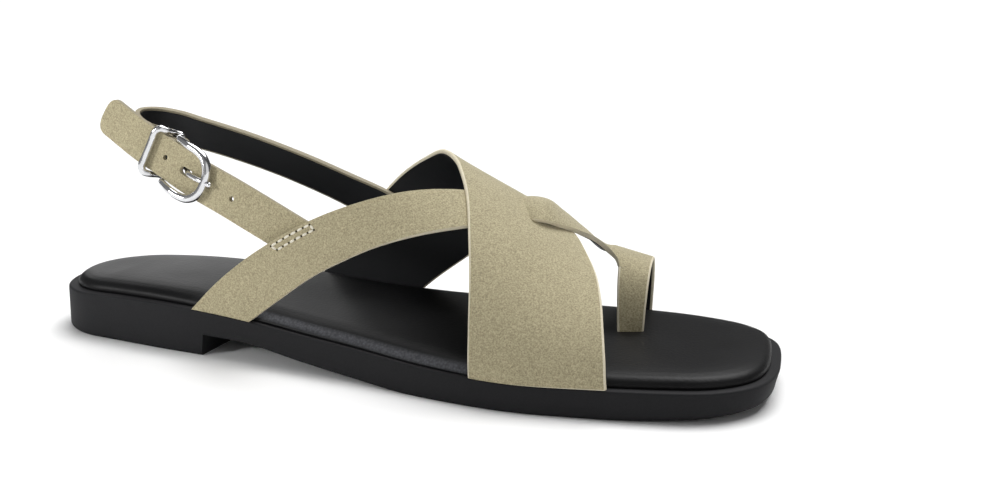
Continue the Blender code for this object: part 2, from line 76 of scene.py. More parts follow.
# Share of the length, half width on the lateral side, half width on the medial side
OUTLINE = np.array([
    (0.00, 0.0, 0.0),
    (0.02, 16.3, 15.0),
    (0.06, 23.8, 23.4),
    (0.12, 26.1, 27.6),
    (0.22, 28.7, 29.8),
    (0.35, 30.6, 29.7),
    (0.48, 34.9, 32.1),
    (0.60, 41.1, 37.8),
    (0.70, 43.7, 40.9),
    (0.80, 41.1, 41.7),
    (0.88, 37.4, 39.3),
    (0.94, 32.6, 33.6),
    (0.98, 24.2, 21.8),
    (0.995, 17.0, 4.6),
    (1.00, 8.0, -8.0),
])
# Distance from the heel's back, then the rim's height or the underside's height
RIM = np.array([(0, 14.7), (60, 15.2), (110, 11.4), (170, 8.7), (215, 9.4), (250, 10.0)])
UNDERSIDE = np.array([
    (65, 6.9), (81, 6.3), (104, 3.1), (122, 1.3), (141, 0.0), (175, 0.0), (207, 0.0), (227, 0.8), (250, 2.3),
])
# Distance from the heel's back, how far the lower edge is rounded in and how far the wall leans in
TUCK = np.array([(0, 1.8, 0.0), (30, 1.2, 0.0), (200, 1.2, 0.0), (232, 2.0, 0.5), (250, 2.3, 1.2)])
RUBBER_GRIT = 0.7  # mm; real moulding grit is finer, and this is the finest that still shows


def smooth(at, knots, values):
    """A smooth curve through a table's rows, read at the given places."""
    knots = np.asarray(knots, float)
    values = np.asarray(values, float)
    at = np.clip(np.asarray(at, float), knots[0], knots[-1])
    extra = (1,) * (values.ndim - 1)
    step = np.diff(knots).reshape((-1,) + extra)
    slope = np.diff(values, axis=0) / step
    tangent = np.concatenate([slope[:1], slope])
    tangent[1:-1] = (slope[:-1] * step[1:] + slope[1:] * step[:-1]) / (step[:-1] + step[1:])
    k = np.clip(np.searchsorted(knots, at) - 1, 0, len(knots) - 2)
    t = ((at - knots[k]) / np.diff(knots)[k]).reshape(at.shape + extra)
    rise = t * t * (3 - 2 * t)
    start = t * (1 - t) ** 2 * tangent[k]
    end = t * t * (t - 1) * tangent[k + 1]
    return values[k] * (1 - rise) + values[k + 1] * rise + (start + end) * step[k]


def round_share(share):
    """Spreads the shares of the length evenly round the ends of the outline."""
    return np.arccos(1 - 2 * np.asarray(share, float)) / math.pi


def half_width(x, column):
    share = np.clip(x, 0, SOLE_LENGTH) / SOLE_LENGTH
    return smooth(round_share(share), round_share(OUTLINE[:, 0]), OUTLINE[:, column])


def rim_height(x):
    return smooth(x, RIM[:, 0], RIM[:, 1])


def place(points):
    """Moves points from sole sizes to the part's own frame, in metres."""
    points = np.array(points, float)
    points[..., 0] -= SOLE_LENGTH / 2
    points[..., 1] += CENTRE_SHIFT
    return points * MM


def sole_stations():
    """Distances from the heel's back of the sole's sections, with both edges of the breast."""
    even = SOLE_LENGTH * (1 - np.cos(np.linspace(0, math.pi, SOLE_STATIONS + 1))) / 2
    breast = np.array([BREAST_X, BREAST_X + BREAST_DRAFT])
    far = np.abs(even[:, None] - breast).min(axis=1) > BREAST_DRAFT
    return np.sort(np.concatenate([even[far], breast]))


def sole_ring(stations, inset):
    """The outline set in by a distance: lateral side from heel to toe, then the medial side back."""
    back = stations[-2:0:-1]
    x = np.concatenate([stations, back])
    y = np.concatenate([-half_width(stations, 1), half_width(back, 2)])
    along = np.stack([np.roll(x, -1) - np.roll(x, 1), np.roll(y, -1) - np.roll(y, 1)], axis=1)
    along /= np.linalg.norm(along, axis=1)[:, None]
    inset = np.broadcast_to(inset, x.shape)
    return x, np.stack([x - along[:, 1] * inset, y + along[:, 0] * inset], axis=1)


def loft(rings):
    """A closed mesh through rings of equal length, capped by strips across from side to side."""
    mesh = bmesh.new()
    loops = [[mesh.verts.new(p) for p in place(ring)] for ring in rings]
    count = len(loops[0])
    for low, high in zip(loops, loops[1:]):
        for i in range(count):
            j = (i + 1) % count
            mesh.faces.new((low[i], low[j], high[j], high[i]))
    for loop, up in ((loops[0], False), (loops[-1], True)):
        for i in range(count // 2):
            strip = [loop[i], loop[i + 1], loop[(count - i - 1) % count], loop[(count - i) % count]]
            strip = list(dict.fromkeys(strip))
            mesh.faces.new(strip if up else strip[::-1])
    return mesh


def add_piece(name, mesh, finishes):
    """Turns a bmesh into a smooth shaded piece that rides on the sandal's one body."""
    data = bpy.data.meshes.new(name)
    mesh.to_mesh(data)
    mesh.free()
    data.shade_smooth()
    data.set_sharp_from_angle(angle=math.radians(SHARP_EDGE))
    for finish in finishes:
        data.materials.append(finish)
    piece = bpy.data.objects.new(name, data)
    bpy.context.scene.collection.objects.link(piece)
    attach(piece, "root")
    return piece


def linear(colour):
    """A linear RGBA colour from an sRGB hex value."""
    shares = [int(colour[i:i + 2], 16) / 255 for i in (0, 2, 4)]
    return tuple(s / 12.92 if s <= 0.04045 else ((s + 0.055) / 1.055) ** 2.4 for s in shares) + (1.0,)


def node(tree, kind, inputs=None, links=None, **settings):
    """Adds a node, with its inputs' values, their links from other nodes' outputs, and its settings."""
    made = tree.nodes.new(kind)
    for name, value in settings.items():
        setattr(made, name, value)
    for name, value in (inputs or {}).items():
        made.inputs[name].default_value = value
    for name, (source, output) in (links or {}).items():
        tree.links.new(source.outputs[output], made.inputs[name])
    return made


def new_finish(name, **sockets):
    """A material with one Principled shader, its plain values set on the shader's own sockets."""
    finish = bpy.data.materials.new(name)
    finish.use_nodes = True
    shader = finish.node_tree.nodes["Principled BSDF"]
    for socket, value in sockets.items():
        shader.inputs[socket.replace("_", " ")].default_value = value
    return finish, finish.node_tree, shader


def per_metre(size):
    """A texture scale that gives features of that size in millimetres, in object coordinates."""
    return 1 / (size * MM)


# Moulded rubber is matt, with a very fine grit that breaks up its dull sheen.
moulded_rubber, tree, shader = new_finish("moulded_black_rubber", Roughness=0.68, Specular_IOR_Level=0.22)
where = node(tree, "ShaderNodeTexCoord")
grit = node(tree, "ShaderNodeTexNoise", {"Scale": per_metre(RUBBER_GRIT), "Detail": 3.0},
            {"Vector": (where, "Object")})
tone = node(tree, "ShaderNodeMix", {"A": linear("151517"), "B": linear("1f1f21")}, {"Factor": (grit, "Fac")},
            data_type="RGBA")
relief = node(tree, "ShaderNodeBump", {"Strength": 0.12, "Distance": 0.1 * MM}, {"Height": (grit, "Fac")})
tree.links.new(tone.outputs["Result"], shader.inputs["Base Color"])
tree.links.new(relief.outputs["Normal"], shader.inputs["Normal"])

stations = sole_stations()
sole_x, _ = sole_ring(stations, 0.0)
tuck, lean = smooth(sole_x, TUCK[:, 0], TUCK[:, 1:]).T
ahead = np.maximum(smooth(sole_x, UNDERSIDE[:, 0], UNDERSIDE[:, 1]), 0.0)
low = np.where(sole_x < BREAST_X + BREAST_DRAFT / 2, 0.0, ahead)
rim = rim_height(sole_x)
quarter = np.linspace(0, math.pi / 2, EDGE_STEPS)
outsole_levels = [
    (lean + tuck * (1 - math.sin(a)), low + tuck * TUCK_RISE * (1 - math.cos(a))) for a in quarter
]
outsole_levels += [(RIM_ROUND * (1 - math.cos(a)), rim - RIM_ROUND * (1 - math.sin(a))) for a in quarter]
outsole_rings = [
    np.column_stack([sole_ring(stations, inset)[1], height]) for inset, height in outsole_levels
]
outsole = add_piece("moulded_outsole", loft(outsole_rings), [moulded_rubber])
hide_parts("outsole")

# Footbed: a padded insole wrapped in black leather and glued inside the outsole's bare ledge, with a soft
# rolled edge and a nearly flat top. The ledge is widest at the heel and the toe.
GAP = 0.3
# Distance from the heel's back, width of the bare ledge, share of the sloped edge in the rolled edge
LEDGE = np.array([
    (0, 3.4, 0.0),
    (60, 3.0, 0.2),
    (85, 2.0, 0.9),
    (105, 1.6, 1.0),
    (150, 1.6, 1.0),
    (180, 1.9, 0.3),
    (205, 2.8, 0.0),
    (250, 3.0, 0.0),
])
# Rolled edge and sloped edge: distance in from the ledge, height over the rim
FOOTBED_EDGE = np.array([
    (0.25, 0.0), (0.05, 0.4), (0.0, 0.9), (0.35, 2.0), (1.4, 3.0), (3.6, 3.7), (7.0, 4.15), (11.5, 4.4),
])
FOOTBED_SLOPE = np.array([
    (0.4, 0.0), (0.05, 0.3), (0.0, 0.7), (0.6, 1.6), (1.8, 2.65), (3.4, 3.55), (6.0, 4.15), (11.5, 4.4),
])
FOOTBED_STEPS = 34
FOOTBED_GRAIN = 0.9  # mm between the creases of the leather's grain
HIGHLIGHT_GRAIN = 0.7  # mm
FOOTBED_MOTTLE = 14.0  # mm; slow changes of its tone and gloss
# Painted highlight along the arch's rolled edge: distance from the heel's back, strength of the painted
# highlight, lower and upper edge of the highlighted band over the rim
ARCH_HIGHLIGHT = np.array([
    (60, 0.0, 1.3, 3.6),
    (80, 0.8, 1.2, 3.5),
    (110, 1.0, 0.9, 3.4),
    (150, 1.0, 0.3, 3.3),
    (172, 1.0, 0.2, 3.3),
    (184, 0.0, 0.2, 3.3),
])
BAND_FULLNESS = 0.7  # below 1 the band keeps its strength nearer to its edges

# Finished calf leather has a satin coat over a fine grain, so it shows broad soft reflections. Along the
# arch's rolled edge a band is painted lighter grey and made rougher: a painted highlight.
padded_leather, tree, shader = new_finish("black_padded_calf_leather", Specular_IOR_Level=0.17)
where = node(tree, "ShaderNodeTexCoord")
painted_highlight = node(tree, "ShaderNodeAttribute", attribute_name="painted_highlight")
mottle = node(tree, "ShaderNodeTexNoise", {"Scale": per_metre(FOOTBED_MOTTLE), "Detail": 2.0},
              {"Vector": (where, "Object")})
satin = node(tree, "ShaderNodeMix", {"A": linear("0c0c0d"), "B": linear("121213")},
             {"Factor": (mottle, "Fac")}, data_type="RGBA")
creases = node(tree, "ShaderNodeTexVoronoi", {"Scale": per_metre(HIGHLIGHT_GRAIN)},
               {"Vector": (where, "Object")}, feature="SMOOTH_F1")
# Painted highlight: the lighter grey of the band along the arch's edge, broken up by the grain.
highlight_tone = node(tree, "ShaderNodeMix", {"A": linear("58595d"), "B": linear("2a2b2d")},
              {"Factor": (creases, "Distance")}, data_type="RGBA")
tone = node(tree, "ShaderNodeMix", None,
            {"Factor": (painted_highlight, "Fac"), "A": (satin, "Result"), "B": (highlight_tone, "Result")}, data_type="RGBA")
coat = node(tree, "ShaderNodeMapRange", {"To Min": 0.42, "To Max": 0.50}, {"Value": (mottle, "Fac")})
gloss = node(tree, "ShaderNodeMix", {"B": 0.6}, {"Factor": (painted_highlight, "Fac"), "A": (coat, "Result")})
grain = node(tree, "ShaderNodeTexVoronoi", {"Scale": per_metre(FOOTBED_GRAIN)},
             {"Vector": (where, "Object")}, feature="SMOOTH_F1")
relief = node(tree, "ShaderNodeBump", {"Strength": 0.45, "Distance": 0.1 * MM},
              {"Height": (grain, "Distance")})
tree.links.new(tone.outputs["Result"], shader.inputs["Base Color"])
tree.links.new(gloss.outputs["Result"], shader.inputs["Roughness"])
tree.links.new(relief.outputs["Normal"], shader.inputs["Normal"])


def travel_along(points):
    """Distance travelled along a row of points, from 0 at the first."""
    return np.concatenate([[0], np.cumsum(np.linalg.norm(np.diff(points, axis=0), axis=1))])


def along_table(rows, count):
    """Evenly spaced points on the smooth curve through a table's rows."""
    travel = travel_along(rows)
    return smooth(np.linspace(0, travel[-1], count), travel, rows)


ledge, slope = smooth(sole_x, LEDGE[:, 0], LEDGE[:, 1:]).T
rolled_edge = along_table(FOOTBED_EDGE, FOOTBED_STEPS)
sloped_edge = along_table(FOOTBED_SLOPE, FOOTBED_STEPS)
footbed_rings = []
for rolled, sloped in zip(rolled_edge, sloped_edge):
    inset, rise = (rolled + (sloped - rolled) * slope[:, None]).T
    footbed_rings.append(np.column_stack([sole_ring(stations, ledge + inset)[1], rim + rise]))
footbed = add_piece("padded_footbed", loft(footbed_rings), [padded_leather])
points = np.array([vert.co for vert in footbed.data.vertices]) / MM
along = points[:, 0] + SOLE_LENGTH / 2
# Strength of the painted highlight at each point of the footbed, strongest in the middle of the band along
# the arch.
highlight_strength, band_low, band_high = smooth(along, ARCH_HIGHLIGHT[:, 0], ARCH_HIGHLIGHT[:, 1:]).T
band = np.clip((points[:, 2] - rim_height(along) - band_low) / (band_high - band_low), 0, 1)
highlight_share = np.clip(highlight_strength, 0, 1) * np.sin(math.pi * band) ** BAND_FULLNESS
footbed.data.attributes.new("painted_highlight", "FLOAT", "POINT").data.foreach_set("value", highlight_share)
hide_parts("footbed")

# Wide vamp strap: khaki nubuck on a black leather lining, cut raw at its edges, lasted down on both sides
# of the sole between the outsole and the footbed.
STRAP_WALL = 1.8
HALF_WALL = STRAP_WALL / 2
SKIN = 1.5  # nubuck; the lining is the rest of the wall
SEAM = 0.02  # between the two layers
LINING_SETBACK = 0.8
LAYER_ROUND = 0.65
LAYER_ROUND_STEPS = 3
LAYER_CORNER = 50.0  # degrees between faces that get rounded
LAYER_SHARP = 60.0  # degrees between faces that stay a sharp edge
STRAP_SETBACK = 0.4
TUCKED_TURN = 0.009  # how far the straps' ends go on round the last, into the crease at the rim
# The last: distance from the heel's back, height of its crest
CREST = np.array([(55, 95), (100, 87), (141, 64.2), (170, 49.7), (190, 38.3), (210, 34.6)])
CREST_Y = 4.0
# Turn round the last from its lateral rim (0) over its crest to its medial rim (1), rear edge, front edge
VAMP = np.array([
    (0.0, 164.0, 206.2),
    (0.1, 163.0, 205.0),
    (0.2, 160.5, 202.5),
    (0.3, 156.0, 198.8),
    (0.4, 150.0, 193.0),
    (0.5, 141.5, 183.5),
    (0.6, 133.0, 171.5),
    (0.7, 124.0, 160.0),
    (0.8, 111.0, 148.5),
    (0.9, 96.0, 136.5),
    (1.0, 79.0, 116.5),
])
VAMP_STEPS = (121, 33)  # points round the last and across the strap
NAP_SIZE = 0.5  # mm; the speckle of the buffed nap, coarser than real so that it shows
NAP_CLOUD = 11.0  # mm; where the nap was brushed another way
CUT_FIBRE = 0.6  # mm; real fibres are finer, and this still shows
LINING_GRAIN = 0.8  # mm
KHAKI_DARK = "857c63"
KHAKI_LIGHT = "c5bb99"

# Nubuck is leather buffed to a short nap: dull, a little velvety, with a fine speckle of light and dark.
khaki_nubuck, tree, shader = new_finish("khaki_buffed_nubuck", Roughness=0.88, Sheen_Weight=0.25,
                                        Sheen_Roughness=0.45, Specular_IOR_Level=0.25)
where = node(tree, "ShaderNodeTexCoord")
nap = node(tree, "ShaderNodeTexNoise", {"Scale": per_metre(NAP_SIZE), "Detail": 4.0, "Roughness": 0.7},
           {"Vector": (where, "Object")})
cloud = node(tree, "ShaderNodeTexNoise", {"Scale": per_metre(NAP_CLOUD), "Detail": 2.0},
             {"Vector": (where, "Object")})
speckle = node(tree, "ShaderNodeMapRange", {"From Min": 0.34, "From Max": 0.66}, {"Value": (nap, "Fac")})
both = node(tree, "ShaderNodeMix", {"Factor": 0.1}, {"A": (speckle, "Result"), "B": (cloud, "Fac")})
tone = node(tree, "ShaderNodeMix", {"A": linear(KHAKI_DARK), "B": linear(KHAKI_LIGHT)},
            {"Factor": (both, "Result")}, data_type="RGBA")
relief = node(tree, "ShaderNodeBump", {"Strength": 0.4, "Distance": 0.15 * MM}, {"Height": (nap, "Fac")})
tree.links.new(tone.outputs["Result"], shader.inputs["Base Color"])
tree.links.new(relief.outputs["Normal"], shader.inputs["Normal"])

# The raw cut shows the paler fibres inside the hide.
cut_edge, tree, shader = new_finish("pale_cut_leather_edge", Roughness=0.8, Specular_IOR_Level=0.3)
where = node(tree, "ShaderNodeTexCoord")
fibre = node(tree, "ShaderNodeTexNoise", {"Scale": per_metre(CUT_FIBRE), "Detail": 3.0},
             {"Vector": (where, "Object")})
tone = node(tree, "ShaderNodeMix", {"A": linear("c4b99d"), "B": linear("e6dfca")},
            {"Factor": (fibre, "Fac")}, data_type="RGBA")
tree.links.new(tone.outputs["Result"], shader.inputs["Base Color"])

# Lining leather is thin, drum dyed black, with a dull finish and a small even grain.
black_lining, tree, shader = new_finish("black_lining_leather", Roughness=0.55, Specular_IOR_Level=0.35)
where = node(tree, "ShaderNodeTexCoord")
grain = node(tree, "ShaderNodeTexVoronoi", {"Scale": per_metre(LINING_GRAIN)},
             {"Vector": (where, "Object")}, feature="SMOOTH_F1")
tone = node(tree, "ShaderNodeMix", {"A": linear("141518"), "B": linear("0f1012")},
            {"Factor": (grain, "Distance")}, data_type="RGBA")
relief = node(tree, "ShaderNodeBump", {"Strength": 0.15, "Distance": 0.08 * MM},
              {"Height": (grain, "Distance")})
tree.links.new(tone.outputs["Result"], shader.inputs["Base Color"])
tree.links.new(relief.outputs["Normal"], shader.inputs["Normal"])


def last_point(x, turn):
    """A point of the last's surface, which passes through the middle of the straps' wall."""
    x, turn = np.broadcast_arrays(np.asarray(x, float), np.asarray(turn, float))
    inset = STRAP_SETBACK + HALF_WALL
    base = rim_height(x) + GAP
    across = np.cos(math.pi * turn)
    half = np.where(across > 0, half_width(x, 1) - inset + CREST_Y, half_width(x, 2) - inset - CREST_Y)
    height = smooth(x, CREST[:, 0], CREST[:, 1]) - base
    return np.stack([x, CREST_Y - across * half, base + height * np.sin(math.pi * turn)], axis=-1)


def outward(grid):
    """Unit normals of a strap's grid on the side away from the foot."""
    normal = np.cross(np.gradient(grid, axis=1), np.gradient(grid, axis=0))
    return normal / np.linalg.norm(normal, axis=-1)[..., None]


def shell(face, under, cut):
    """A closed layer between two grids, with a material index for its cut edges and underside."""
    mesh = bmesh.new()
    rows, columns = face.shape[:2]
    top, base = [[[mesh.verts.new(p) for p in row] for row in place(grid)] for grid in (face, under)]
    for i in range(rows - 1):
        for j in range(columns - 1):
            quad = ((i, j), (i, j + 1), (i + 1, j + 1), (i + 1, j))
            mesh.faces.new([top[a][b] for a, b in quad])
            mesh.faces.new([base[a][b] for a, b in reversed(quad)]).material_index = cut
    border = [(0, j) for j in range(columns)] + [(i, columns - 1) for i in range(1, rows)]
    border += [(rows - 1, j) for j in range(columns - 2, -1, -1)] + [(i, 0) for i in range(rows - 2, 0, -1)]
    for (a, b), (c, d) in zip(border, border[1:] + border[:1]):
        mesh.faces.new((top[c][d], top[a][b], base[a][b], base[c][d])).material_index = cut
    return mesh


def add_cutter(name, mesh, matrix):
    """A hidden shape that a Boolean takes out of a piece."""
    data = bpy.data.meshes.new(name)
    mesh.to_mesh(data)
    cutter = bpy.data.objects.new(name, data)
    bpy.context.scene.collection.objects.link(cutter)
    cutter.matrix_world = matrix
    cutter.hide_render = True
    cutter.hide_viewport = True
    return cutter


def strap_layer(name, face, under, finishes, holes):
    """A layer of leather between two grids, with rounded corners and punched holes."""
    layer = add_piece(name, shell(face, under, len(finishes) - 1), finishes)
    cutters = [add_cutter(f"{name}_hole_{i}", *hole) for i, hole in enumerate(holes)]
    for cutter in cutters:
        step = layer.modifiers.new(cutter.name, "BOOLEAN")
        step.operation = "DIFFERENCE"
        step.object = cutter
    corner = layer.modifiers.new("corner", "BEVEL")
    corner.width = LAYER_ROUND * MM * np.linalg.norm(face[0, 0] - under[0, 0]) / SKIN
    corner.segments = LAYER_ROUND_STEPS
    corner.material = len(finishes) - 1
    corner.limit_method = "ANGLE"
    corner.angle_limit = math.radians(LAYER_CORNER)
    bpy.context.view_layer.update()
    made = bpy.data.meshes.new_from_object(layer.evaluated_get(bpy.context.evaluated_depsgraph_get()))
    layer.modifiers.clear()
    layer.data = made
    for cutter in cutters:
        bpy.data.objects.remove(cutter, do_unlink=True)
    made.shade_smooth()
    made.set_sharp_from_angle(angle=math.radians(LAYER_SHARP))
    return layer


def lined_strap(name, grid, edge, holes=()):
    """A strap of two layers, nubuck outside and lining inside, on a grid through the middle of its wall."""
    normal = outward(grid)
    depths = (HALF_WALL, HALF_WALL - SKIN, HALF_WALL - SKIN - SEAM, -HALF_WALL)
    levels = [grid + normal * depth for depth in depths]
    skin = strap_layer(name, levels[0], levels[1], [khaki_nubuck, edge], holes)
    for lining in levels[2:]:
        for side, neighbour in ((0, 1), (-1, -2)):
            away = lining[:, neighbour] - lining[:, side]
            lining[:, side] += away * (LINING_SETBACK / np.linalg.norm(away, axis=1)[:, None])
    strap_layer(name + "_lining", levels[2], levels[3], [black_lining], holes)
    return skin


turn = np.linspace(-TUCKED_TURN, 1 + TUCKED_TURN, VAMP_STEPS[0])[:, None]
share = np.linspace(0, 1, VAMP_STEPS[1])[None, :]
rear = smooth(turn[:, 0], VAMP[:, 0], VAMP[:, 1])[:, None]
front = smooth(turn[:, 0], VAMP[:, 0], VAMP[:, 2])[:, None]
vamp = lined_strap("vamp_strap", last_point(rear + (front - rear) * share, turn), cut_edge)
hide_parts("upper")

# Cross strap: the same lined nubuck, from the lateral heel under the vamp strap and out through its slit,
# where it narrows to the toe loop. A box stitch holds the buckle's strap behind it.
# Rear edge and front edge as distance and turn, lift over the vamp strap's level, crown of its middle
CROSS = np.array([
    (59.5, -TUCKED_TURN, 81.0, -TUCKED_TURN, 0.0, 0.0),
    (72.1, 0.046, 94.5, 0.039, 0.0, 0.0),
    (85.0, 0.094, 105.5, 0.081, 0.0, 0.0),
    (103.4, 0.160, 117.0, 0.125, 0.0, 0.0),
    (120.0, 0.231, 129.0, 0.179, -0.2, 0.0),
    (135.0, 0.319, 142.1, 0.246, -0.7, 0.0),
    (150.0, 0.421, 155.5, 0.326, -1.2, 0.0),
    (157.0, 0.472, 163.5, 0.392, -1.4, 0.0),
    (162.3, 0.517, 169.2, 0.443, -0.6, 0.3),
    (164.6, 0.540, 171.2, 0.441, 1.3, 1.6),
    (167.4, 0.570, 173.4, 0.452, 2.0, 1.9),
    (171.8, 0.612, 176.8, 0.480, 1.8, 0.9),
    (178.8, 0.662, 181.2, 0.540, 1.2, 0.2),
    (186.0, 0.700, 186.5, 0.610, 0.6, 0.0),
])
CROSS_STEPS = (8, 17)  # points between two rows and across the strap
LOOP_NEAR = (199.9, 7.2)  # foot of the loop's limb between the toes
LOOP_FAR = (193.9, 39.8)  # foot of the loop's limb on the medial ledge
LOOP_TOP_REAR = 35.0
LOOP_TOP_FRONT = 32.4
LOOP_WIDTH_FOOT = 8.2
LOOP_WIDTH_TOP = 10.4
LOOP_SQUARENESS = 0.8
LOOP_NEAR_SKEW = 20.0  # degrees that the limb between the toes is turned
LOOP_SINK = 2.2  # depth of that limb in the footbed
# Cross strap's last rows, on the loop and the surface behind it: turn of the far edge and of the near edge,
# share across the band, and how much the row lies under the loop's own level
LOOP_MEETING = (
    (0.60, 0.44, -0.25, 0.0),
    (0.63, 0.40, -0.1, 0.0),
    (0.65, 0.33, 0.04, -0.03),
    (0.60, 0.36, 0.5, 0.12),
)
# Box stitch that holds the buckle's strap: millimetres along the strap, shares of its width
STITCH_ALONG = (37.3, 50.3)
STITCH_ACROSS = (0.075, 0.205)
STITCHES = (6, 1)  # on a long side and on a short side
STITCH_SHARE = 0.75  # thread in view, as a share of the stitch length
THREAD = 0.8
PINHOLE = 0.75
THREAD_TWIST = 0.3  # mm
HOLE_FIBRE = 0.3  # mm
PINHOLE_DEPTH = THREAD / 4
BEAD_SIDES = (12, 8)
NORMAL_STEP = (1.0, 0.01)  # distance and turn to each side from which the last's normal is read

# Waxed thread is pale and smooth, and catches the light on its round top.
waxed_thread, tree, shader = new_finish("pale_waxed_thread", Roughness=0.5)
where = node(tree, "ShaderNodeTexCoord")
twist = node(tree, "ShaderNodeTexNoise", {"Scale": per_metre(THREAD_TWIST)}, {"Vector": (where, "Object")})
tone = node(tree, "ShaderNodeMix", {"A": linear("dad3c0"), "B": linear("f1ecdf")},
            {"Factor": (twist, "Fac")}, data_type="RGBA")
tree.links.new(tone.outputs["Result"], shader.inputs["Base Color"])

# A needle hole lies in shade, so only its dark brown inside is seen.
needle_hole, tree, shader = new_finish("dark_needle_hole", Roughness=0.9, Specular_IOR_Level=0.1)
where = node(tree, "ShaderNodeTexCoord")
fibre = node(tree, "ShaderNodeTexNoise", {"Scale": per_metre(HOLE_FIBRE)}, {"Vector": (where, "Object")})
tone = node(tree, "ShaderNodeMix", {"A": linear("2a241b"), "B": linear("40382b")},
            {"Factor": (fibre, "Fac")}, data_type="RGBA")
tree.links.new(tone.outputs["Result"], shader.inputs["Base Color"])


def lifted(x, turn, lift):
    """A point that stands off the last's surface along its outward normal."""
    step_x, step_turn = NORMAL_STEP
    along = last_point(x + step_x, turn) - last_point(x - step_x, turn)
    round_it = last_point(x, turn + step_turn) - last_point(x, turn - step_turn)
    normal = np.cross(along, round_it)
    normal /= np.linalg.norm(normal, axis=-1)[..., None]
    return last_point(x, turn) + normal * np.asarray(lift)[..., None]


def loop_point(turn, share):
    """A point of the toe loop: turn 0 between the toes to 1 at the medial ledge, share across the band."""
    turn, share = np.broadcast_arrays(np.asarray(turn, float), np.asarray(share, float))
    angle = math.pi * turn
    swing = np.sign(np.cos(angle)) * np.abs(np.cos(angle)) ** LOOP_SQUARENESS
    height = np.abs(np.sin(angle)) ** LOOP_SQUARENESS
    middle = (np.array(LOOP_NEAR) + LOOP_FAR) / 2
    reach = (np.array(LOOP_NEAR) - LOOP_FAR) / 2
    centre = middle + reach * swing[..., None]
    near_foot = rim_height(LOOP_NEAR[0]) + FOOTBED_EDGE[-1, 1] - LOOP_SINK
    foot = np.where(swing > 0, near_foot, rim_height(LOOP_FAR[0]) + GAP)
    skew = np.radians(LOOP_NEAR_SKEW) * (1 - turn)
    width = LOOP_WIDTH_FOOT + (LOOP_WIDTH_TOP - LOOP_WIDTH_FOOT) * height
    across = width * (share - 0.5)
    x = centre[..., 0] + np.cos(skew) * across
    y = centre[..., 1] + np.sin(skew) * across
    top = LOOP_TOP_REAR + (LOOP_TOP_FRONT - LOOP_TOP_REAR) * share
    return np.stack([x, y, foot + (top - foot) * height], axis=-1)


def cross_grid():
    """The cross strap: rows on the last, then rows that flare into the toe loop's rear half."""
    share = np.linspace(0, 1, CROSS_STEPS[1])
    rear_x, rear_turn, front_x, front_turn, lift, crown = [column[:, None] for column in CROSS.T]
    x = rear_x + (front_x - rear_x) * share
    turn = rear_turn + (front_turn - rear_turn) * share
    rows = list(lifted(x, turn, lift + crown * 4 * share * (1 - share)))
    for far_turn, near_turn, across, sink in LOOP_MEETING:
        row = loop_point(far_turn + (near_turn - far_turn) * share, across)
        row[:, 2] -= sink
        rows.append(row)
    rows = np.array(rows)
    knots = travel_along(rows[:, len(share) // 2])
    steps = np.linspace(0, len(knots) - 1, CROSS_STEPS[0] * (len(knots) - 1) + 1)
    return smooth(np.interp(steps, np.arange(len(knots)), knots), knots, rows)


def on_strap(face, distance, share):
    """A point of a strap's outer face, at millimetres along its middle and a share of its width."""
    travel = travel_along(face[:, face.shape[1] // 2])
    return smooth(share, np.linspace(0, 1, face.shape[1]), smooth(distance, travel, face))


def bead(mesh, centre, axes, sizes):
    """Adds an ellipsoid along three axes with three diameters in millimetres."""
    columns = [Vector(axis) * size / 2 * MM for axis, size in zip(axes, sizes)]
    turn = Matrix(columns).transposed().to_4x4()
    bmesh.ops.create_uvsphere(mesh, u_segments=BEAD_SIDES[0], v_segments=BEAD_SIDES[1], radius=1.0,
                              matrix=Matrix.Translation(Vector(place(centre))) @ turn)


cross = cross_grid()
lined_strap("cross_strap", cross, cut_edge)
cross_face = cross + outward(cross) * HALF_WALL
corners = [(STITCH_ALONG[i], STITCH_ACROSS[j]) for i, j in ((0, 0), (1, 0), (1, 1), (0, 1), (0, 0))]
threads = bmesh.new()
pinholes = bmesh.new()
for side, (start, end) in enumerate(zip(corners, corners[1:])):
    marks = [on_strap(cross_face, *spot) for spot in np.linspace(start, end, STITCHES[side % 2] + 1)]
    for here, there in zip(marks, marks[1:]):
        length = np.linalg.norm(there - here)
        along = (there - here) / length
        away = np.linalg.norm(cross_face - here, axis=-1)
        nearest = np.unravel_index(np.argmin(away), away.shape)
        out = outward(cross)[nearest]
        axes = (along, np.cross(out, along), out)
        bead(threads, (here + there) / 2, axes, (length * STITCH_SHARE, THREAD, THREAD))
        bead(pinholes, here, axes, (PINHOLE, PINHOLE, PINHOLE_DEPTH))
add_piece("box_stitch_thread", threads, [waxed_thread])
add_piece("box_stitch_holes", pinholes, [needle_hole])

# Toe loop: the end of the cross strap, bent into an arch over the big toe. One limb goes down between the
# toes and sinks into the footbed, the other is glued on the medial ledge.
LOOP_STEPS = (81, 13)  # points round the arch and across the band
loop_turn = np.linspace(0, 1, LOOP_STEPS[0])[:, None]
loop_share = np.linspace(0, 1, LOOP_STEPS[1])[None, :]
lined_strap("toe_loop", loop_point(loop_turn, loop_share), cut_edge)

# Sling strap: a narrow lined strap, sewn inside the vamp strap's medial end, round the heel and folded
# about the buckle's centre bar.
HEEL_STRAP_WIDTH = 13.2
WIRE = 2.1
